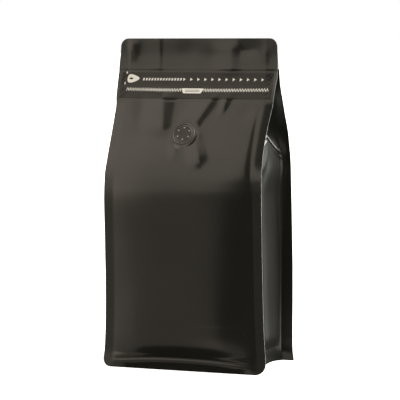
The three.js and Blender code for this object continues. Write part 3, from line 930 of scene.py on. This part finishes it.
# %% Worn ink
INK_DETAIL = 2.0
INK_ROUGHNESS, INK_ROUGHNESS_CHANGE = 0.4, 0.2
INK_SMOOTHING = 0.1
WHITE_INK = {"Ink": (0.86, 0.85, 0.82, 1), "Under": (0.25, 0.24, 0.23, 1), "Speckle Amount": 0.35}
DARK_INK = {"Ink": (0.03, 0.028, 0.026, 1), "Under": (0.1, 0.095, 0.09, 1), "Speckle Amount": 0.4}
ink_group, ink_in, ink_out = new_group(
    "worn_ink",
    [
        ("Ink", COLOUR, (0.8, 0.79, 0.76, 1)),
        ("Under", COLOUR, (0.12, 0.115, 0.11, 1)),
        ("Speckle Scale", NUMBER, 900.0),
        ("Speckle Amount", NUMBER, 0.5),
    ],
    [("Colour", COLOUR), ("Roughness", NUMBER)],
)
ink_place = ink_group.nodes.new("ShaderNodeTexCoord").outputs["Object"]
speckle = noise(ink_place, ink_in["Speckle Scale"], INK_DETAIL)
thinned = maths("MULTIPLY", speckle, ink_in["Speckle Amount"])
broken = maths("SMOOTH_MIN", thinned, 1.0, INK_SMOOTHING)
give(ink_out["Colour"], mixed_colour(broken, ink_in["Ink"], ink_in["Under"]))
uneven_ink = maths("MULTIPLY", speckle, INK_ROUGHNESS_CHANGE)
give(ink_out["Roughness"], maths("ADD", uneven_ink, INK_ROUGHNESS))
white_ink = finished("white_ink", ink_group, WHITE_INK)[0]
dark_ink = finished("dark_ink", ink_group, DARK_INK)[0]
print("inks:", white_ink.name, "and", dark_ink.name)

# %% An ink mark as a thin layer
INK_LOW = 0.3
INK_HIGH = 0.41


def ink_layer(name, ladders, material, low=INK_LOW, high=INK_HIGH):
    """One thin piece from several ladders; each is (lower points, upper points, closed)."""
    coordinates, corners = [], []
    for lower_row, upper_row, closed in ladders:
        count = len(lower_row)
        start = len(coordinates)
        for depth in (high, low):
            for row in (lower_row, upper_row):
                x, z = np.array(row, float).T
                coordinates.extend(np.column_stack([x, front_y(x, z) - depth, z]))
        out_low, out_high, in_low, in_high = (start + k * count for k in range(4))
        last = count if closed else count - 1
        for i in range(last):
            j = (i + 1) % count
            corners.append((out_low + i, out_low + j, out_high + j, out_high + i))
            corners.append((in_low + i, in_high + i, in_high + j, in_low + j))
            corners.append((out_low + i, in_low + i, in_low + j, out_low + j))
            corners.append((out_high + i, out_high + j, in_high + j, in_high + i))
        if not closed:
            for i in (0, count - 1):
                corners.append((out_low + i, out_high + i, in_high + i, in_low + i))
    made = make_piece(name, coordinates, corners, [material])
    return made


def ladder(x, low, high):
    return np.column_stack([x, low]), np.column_stack([x, high]), False


# %% Zigzag line
ZIGZAG_Z = 218.1
ZIGZAG_BOW = 0.5
ZIGZAG_FROM, ZIGZAG_TO = -57.3, 60.5
TOOTH, TOOTH_HEIGHT = 2.2, 2.1
STROKE = 1.0
LABEL_FROM, LABEL_TO = -10.6, 8.0


def zigzag_middle(x):
    return ZIGZAG_Z - ZIGZAG_BOW * (1 - (x / ZIGZAG_TO) ** 2)


def zigzag(start, end):
    count = round((end - start) / (TOOTH / 2))
    x = np.linspace(start, end, count + 1)
    middle = zigzag_middle(x) + TOOTH_HEIGHT / 2 * np.where(np.arange(count + 1) % 2, 1, -1)
    return ladder(x, middle - STROKE / 2, middle + STROKE / 2)


ink_layer("zigzag_line", [zigzag(ZIGZAG_FROM, LABEL_FROM), zigzag(LABEL_TO, ZIGZAG_TO)], white_ink)
print("teeth from", ZIGZAG_FROM, "to", ZIGZAG_TO, "mm")

# %% Arrowheads, dashes and ticks
ARROW_Z = 225.9
ARROW_FROM, ARROW_TO, ARROWS = -9.4, 54.8, 12
ARROW_LENGTH, ARROW_HALVES = 1.9, (1.25, 0.625, 0.12)
DASH_FROM, DASH_TO, DASHES = -44.2, -13.0, 14
DASH_LENGTH, DASH_HALF, DASH_LEAN = 1.25, 0.95, 0.25
# Ticks at the left end: x, z, length, half height.
TICKS = [(-59.2, 231.0, 0.9, 0.8), (-59.8, 222.6, 0.8, 0.9)]


def mark(x, z, length, halves, lean=0.0):
    """A small mark with its half height at the left end, in the middle and at the right end."""
    along, halves = x + np.linspace(0, length, 3), np.zeros(3) + halves
    return np.column_stack([along - lean, z - halves]), np.column_stack([along + lean, z + halves]), False


arrow_places = np.linspace(ARROW_FROM, ARROW_TO, ARROWS) - ARROW_LENGTH / 2
dash_places = np.linspace(DASH_FROM, DASH_TO, DASHES)
arrows = [mark(x, ARROW_Z, ARROW_LENGTH, ARROW_HALVES) for x in arrow_places]
dashes = [mark(x, ARROW_Z, DASH_LENGTH, DASH_HALF, DASH_LEAN) for x in dash_places]
ink_layer("arrow_row", arrows, white_ink)
ink_layer("guide_dashes", dashes + [mark(*tick) for tick in TICKS], white_ink)
print("arrowheads:", len(arrows), "dashes:", len(dashes), "ticks:", len(TICKS))

# %% Grip mark
GRIP_X, GRIP_Z = -53.2, 226.4
GRIP_HALF, GRIP_POINT = 5.2, 0.6
GRIP_RISE, GRIP_TAPER = 3.2, 0.9
EYE_SHIFT, EYE_HALF, EYE_RISE = 1.2, 1.7, 0.75
GRIP_POINTS = 48
turn = np.linspace(0, 2 * math.pi, GRIP_POINTS + 1)[:-1]
grip_x = GRIP_X + GRIP_HALF * np.cos(turn) + GRIP_POINT * np.cos(2 * turn)
grip_z = GRIP_Z + (GRIP_RISE - GRIP_TAPER * np.cos(turn)) * np.sin(turn)
eye = np.column_stack([GRIP_X - EYE_SHIFT + EYE_HALF * np.cos(turn), GRIP_Z + EYE_RISE * np.sin(turn)])
ink_layer("grip_mark", [(np.column_stack([grip_x, grip_z]), eye, True)], white_ink)
print("grip mark width:", 2 * GRIP_HALF, "mm")

# %% Blank tab in the middle, with two fine lines
TAB_ABOVE = 1.35
TAB_EDGE, TAB_EDGE_REACH = 0.25, 0.5
TAB_LOW, TAB_DEPTH, TAB_CORNER = 0.5, 3.3, (0, 2.2)
TRACK_INSET, TRACK_DROP, TRACK_APART, TRACK_HALF = 3.2, 1.9, 0.55, 0.18
TRACK_LOW, TRACK_HIGH = INK_HIGH - 0.02, INK_HIGH + 0.04
TAB_POINTS, TRACK_POINTS = 40, 24
tab_x = np.linspace(LABEL_FROM, LABEL_TO, TAB_POINTS)
tab_in = np.minimum(tab_x - LABEL_FROM, LABEL_TO - tab_x)
tab_top = zigzag_middle(tab_x) + TAB_ABOVE - TAB_EDGE * np.exp(-tab_in / TAB_EDGE_REACH)
tab_low = tab_top - TAB_LOW - TAB_DEPTH * smooth(*TAB_CORNER, tab_in)
ink_layer("middle_tab", [ladder(tab_x, tab_low, tab_top)], white_ink)
track_x = np.linspace(LABEL_FROM + TRACK_INSET, LABEL_TO - TRACK_INSET, TRACK_POINTS)
tracks = []
for d in (-TRACK_APART, TRACK_APART):
    track_z = np.interp(track_x, tab_x, tab_top) - TRACK_DROP + d
    tracks.append(ladder(track_x, track_z - TRACK_HALF, track_z + TRACK_HALF))
ink_layer("tab_track", tracks, dark_ink, TRACK_LOW, TRACK_HIGH)
print("tab width:", round(LABEL_TO - LABEL_FROM, 1), "mm")

# %% [markdown]
# ## The degassing valve
#
# A flat one-way valve is welded behind the film. It prints through as a raised ring, a groove, a
# second ring and six small vent holes. It is made as a round grid, with its height worked out from the
# distance to the middle and to each hole, and is then laid on the leaning panel. A lathe shape cut
# with cylinders would make harder edges than film pressed over a valve has.

# %% Height of the valve's face
VALVE_RADIUS = 9.3
VALVE_EDGE = 8.9
HOLES, HOLE_RING, FIRST_HOLE = 6, 4.9, 28
# Rings: height, radius, width.
VALVE_RIDGES = [(0.5, 8.5, 0.5), (0.34, 6.75, 0.42)]
FACE_HEIGHT, FACE_EDGE = 0.3, (5.9, 7.4)
FACE_BASE, VALVE_LIFT = 0.06, 0.03
DISH, DISH_EDGE = -0.1, (0.5, 3.6)
HOLE_LIP, HOLE_LIP_WIDTH = 0.26, 0.85
HOLE_DEPTH, HOLE_WIDTH = 0.3, 0.3
# Rings painted paler as painted highlights on their crests: radius, half width.
RING_HIGHLIGHTS = [(8.4, 0.35), (6.9, 0.3)]
VENT_RADIUS = 0.7


def from_hole(radius, angle, k):
    hole = math.radians(FIRST_HOLE + 360 / HOLES * k)
    across = radius * np.cos(angle) - HOLE_RING * math.cos(hole)
    return np.hypot(across, radius * np.sin(angle) - HOLE_RING * math.sin(hole))


def valve_highlight_kind(radius, angle):
    """0 is plain film, 1 the crests of both rings with a painted highlight, 2 the vents, painted pale as
    painted glints.
    """
    if min(float(from_hole(radius, angle, k)) for k in range(HOLES)) < VENT_RADIUS:
        return 2
    return int(any(abs(radius - at) < width for at, width in RING_HIGHLIGHTS))


def valve_height(radius, angle):
    height = FACE_BASE + FACE_HEIGHT * (1 - smooth(*FACE_EDGE, radius))
    height = height + DISH * (1 - smooth(*DISH_EDGE, radius))
    for rise, at, width in VALVE_RIDGES:
        height = height + rise * line(radius, at, width)
    for k in range(HOLES):
        away = from_hole(radius, angle, k)
        height = height + HOLE_LIP * line(away, 0, HOLE_LIP_WIDTH) - HOLE_DEPTH * line(away, 0, HOLE_WIDTH)
    return height * (1 - smooth(VALVE_EDGE, VALVE_RADIUS, radius)) + VALVE_LIFT


print("valve's outer ring stands", round(float(valve_height(VALVE_RIDGES[0][1], 0.0)), 2), "mm high")

# %% Points of the valve
VALVE_SPOKES = 144
VALVE_RINGS = 58
UNDERSIDE = -0.05
valve_up = np.array([0.0, -1.0, valve_slope]) / math.hypot(1, valve_slope)
valve_rise = np.array([0.0, valve_slope, 1.0]) / math.hypot(1, valve_slope)
valve_centre = np.array([VALVE_X, valve_y, VALVE_Z])


def valve_points(radius, angle, height):
    across = np.outer(radius * np.cos(angle), (1.0, 0.0, 0.0))
    upward = np.outer(radius * np.sin(angle), valve_rise)
    return valve_centre + across + upward + np.outer(height, valve_up)


spokes = np.linspace(0, 2 * math.pi, VALVE_SPOKES + 1)[:-1]
valve_coordinates = [valve_centre + valve_up * float(valve_height(0.0, 0.0))]
for radius in np.linspace(0, VALVE_RADIUS, VALVE_RINGS + 1)[1:]:
    round_row = np.full(VALVE_SPOKES, radius)
    valve_coordinates.extend(valve_points(round_row, spokes, valve_height(round_row, spokes)))
valve_coordinates.extend(valve_points(round_row, spokes, np.full(VALVE_SPOKES, UNDERSIDE)))
print("valve points:", len(valve_coordinates))

# %% Faces of the valve
valve_corners = [(0, 1 + i, 1 + (i + 1) % VALVE_SPOKES) for i in range(VALVE_SPOKES)]
valve_kinds = [0] * VALVE_SPOKES
for k in range(VALVE_RINGS):
    for i, spoke in enumerate(spokes):
        a, b = 1 + k * VALVE_SPOKES + i, 1 + k * VALVE_SPOKES + (i + 1) % VALVE_SPOKES
        valve_corners.append((a, a + VALVE_SPOKES, b + VALVE_SPOKES, b))
        valve_kinds.append(valve_highlight_kind(VALVE_RADIUS * (k + 0.5) / VALVE_RINGS, spoke))
valve_corners.append(tuple(1 + VALVE_RINGS * VALVE_SPOKES + i for i in range(VALVE_SPOKES)))
valve_kinds.append(0)

# Painted highlights: the ring crests and the vents are painted paler grey, in place of the light they catch.
RING_HIGHLIGHT_GREY = ((0.07, 0.068, 0.064, 1), (0.13, 0.125, 0.12, 1))
VENT = ((0.17, 0.165, 0.155, 1), (0.3, 0.295, 0.28, 1))
valve_film = film_material("valve_film", specular=0.38, Roughness=0.36)
ring_highlight_film = film_material("ring_highlight_film", RING_HIGHLIGHT_GREY, Roughness=0.3)
vent_film = film_material("vent_film", VENT, Roughness=0.4)
valve_skins = [valve_film, ring_highlight_film, vent_film]
vent_valve = make_piece("vent_valve", valve_coordinates, valve_corners, valve_skins, valve_kinds)
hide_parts("valve")
print("valve faces:", len(vent_valve.data.polygons))

# %% [markdown]
# ## Floor and light
#
# The bag stands in a white studio. Black film shows little of its own colour: what is seen is mostly
# what it reflects. A wide, soft panel at the front left lights the slope and dies out down the front. The
# right third of the front looks past it into a dark part of the room, and the gusset mirrors the
# pale wall behind. So the lights are placed by what each part of the film reflects. Area lights
# would do, but their place, size and distance all change what is mirrored. A window in the world is
# named by its direction alone, and the film picks it up from there.

# %% Floor
FLOOR_HALF = 60.0
WHITE = (1, 1, 1, 1)
FLOOR_LOOK = {
    "Base Color": (0.85, 0.85, 0.84, 1), "Roughness": 0.9, "Emission Color": WHITE,
    "Emission Strength": 0.88,
}
floor_mesh = bpy.data.meshes.new("studio_floor")
floor_corners = [(x * FLOOR_HALF, y * FLOOR_HALF, 0) for x, y in ((-1, -1), (1, -1), (1, 1), (-1, 1))]
floor_mesh.from_pydata(floor_corners, [], [(0, 1, 2, 3)])
floor = bpy.data.objects.new("studio_floor", floor_mesh)
scene.collection.objects.link(floor)
floor_paint = bpy.data.materials.new("studio_floor")
floor_paint.use_nodes = True
for label, value in FLOOR_LOOK.items():
    give(floor_paint.node_tree.nodes["Principled BSDF"].inputs[label], value)
floor_mesh.materials.append(floor_paint)
floor.visible_glossy = False
floor.visible_diffuse = False
print("floor:", 2 * FLOOR_HALF, "m wide")

# %% A soft window of light, seen by direction
WINDOW_NUMBERS = ("Facing", "Half Width", "Low", "High", "Tilt", "Soft", "Strength")
window_group, window_in, window_out = new_group(
    "soft_window",
    [("Direction", VECTOR, (0, 0, 0)), ("Light", COLOUR, WHITE)]
    + [(label, NUMBER, 0.0) for label in WINDOW_NUMBERS],
    [("Light", COLOUR)],
)


def soft_step(value, edge, width):
    """0 on one side of the edge and 1 on the other; a width below 0 turns it round."""
    node = window_group.nodes.new("ShaderNodeMapRange")
    node.interpolation_type = "SMOOTHSTEP"
    start, end = maths("SUBTRACT", edge, width), maths("ADD", edge, width)
    for label, given in (("Value", value), ("From Min", start), ("From Max", end)):
        give(node.inputs[label], given)
    return node.outputs["Result"]


turner = window_group.nodes.new("ShaderNodeVectorRotate")
turner.rotation_type = "Z_AXIS"
give(turner.inputs["Vector"], window_in["Direction"])
give(turner.inputs["Angle"], maths("RADIANS", maths("MULTIPLY", window_in["Facing"], -1.0)))
parts = window_group.nodes.new("ShaderNodeSeparateXYZ")
give(parts.inputs["Vector"], turner.outputs["Vector"])
ahead = maths("MULTIPLY", parts.outputs["Y"], -1.0)
aside = maths("DEGREES", maths("ARCTAN2", parts.outputs["X"], ahead))
up = maths("DEGREES", maths("ARCSINE", parts.outputs["Z"]))
low = maths("ADD", window_in["Low"], maths("MULTIPLY", aside, window_in["Tilt"]))
spread = maths("MULTIPLY", window_in["Soft"], 0.5)
inverse_spread = maths("MULTIPLY", spread, -1.0)
across_mask = soft_step(maths("ABSOLUTE", aside), window_in["Half Width"], inverse_spread)
low_mask = soft_step(up, low, spread)
high_mask = soft_step(up, window_in["High"], inverse_spread)
shape = maths("MULTIPLY", maths("MULTIPLY", across_mask, low_mask), high_mask)
glow = window_group.nodes.new("ShaderNodeVectorMath")
glow.operation = "SCALE"
give(glow.inputs[0], window_in["Light"])
give(glow.inputs["Scale"], maths("MULTIPLY", shape, window_in["Strength"]))
give(window_out["Light"], glow.outputs["Vector"])
print("soft window nodes:", len(window_group.nodes))

# %% The studio round the bag
WARM = (1.0, 0.89, 0.76, 1)
PLAIN = (1.0, 1.0, 0.94, 1)
ROOM_LIGHT = (0.054, 0.062, 0.048)
# Windows: name, colour, facing (0 is straight in front, positive to the right), half width, low edge,
# high edge, rise of the low edge for each degree aside, softness, strength. Angles are in degrees.
WINDOWS = [
    ("key", WARM, -37, 45, 3, 66, 0.22, 9, 1.45),
    ("key_left", WARM, -62, 28, -4, 60, 0.0, 16, 0.3),
    ("overhead", WARM, 0, 180, 68, 100, 0.0, 10, 2.2),
    ("low_left", WARM, -44, 38, -38, 3, 0.0, 5, 0.46),
    ("low_far_left", WARM, -62, 16, -42, 3, 0.0, 10, 0.2),
    ("low_front", WARM, 20, 36, -38, -19, 0.0, 6, 0.46),
    ("back_rim", PLAIN, 118, 34, 14, 60, 0.0, 10, 8.0),
    ("back_wall", PLAIN, 146, 40, -10, 16, 0.0, 5, 0.42),
    ("back_strip", PLAIN, 126, 9, -8, 30, 0.0, 8, 0.9),
    ("side_wall", PLAIN, 84, 30, 2, 60, 0.0, 12, 1.5),
]
world = bpy.data.worlds.new("studio")
scene.world = world
world.use_nodes = True
sky = world.node_tree
sky.nodes.clear()
direction = sky.nodes.new("ShaderNodeTexCoord").outputs["Generated"]
total = ROOM_LIGHT
for name, *settings in WINDOWS:
    window = sky.nodes.new("ShaderNodeGroup")
    window.node_tree = window_group
    window.name = name
    give(window.inputs["Direction"], direction)
    for label, value in zip(("Light",) + WINDOW_NUMBERS, settings):
        give(window.inputs[label], value)
    adder = sky.nodes.new("ShaderNodeVectorMath")
    give(adder.inputs[0], total)
    give(adder.inputs[1], window.outputs["Light"])
    total = adder.outputs["Vector"]
print("windows of light:", [w[0] for w in WINDOWS])

# %% White to the camera, windows to the film
seen = sky.nodes.new("ShaderNodeBackground")
fill = sky.nodes.new("ShaderNodeBackground")
give(fill.inputs["Color"], total)
choice = sky.nodes.new("ShaderNodeMixShader")
path = sky.nodes.new("ShaderNodeLightPath")
result = sky.nodes.new("ShaderNodeOutputWorld")
give(seen.inputs["Color"], WHITE)
give(choice.inputs["Fac"], path.outputs["Is Camera Ray"])
give(choice.inputs[1], fill.outputs[0])
give(choice.inputs[2], seen.outputs[0])
give(result.inputs["Surface"], choice.outputs[0])
scene.view_settings.view_transform = "Standard"
print("studio nodes:", len(sky.nodes))
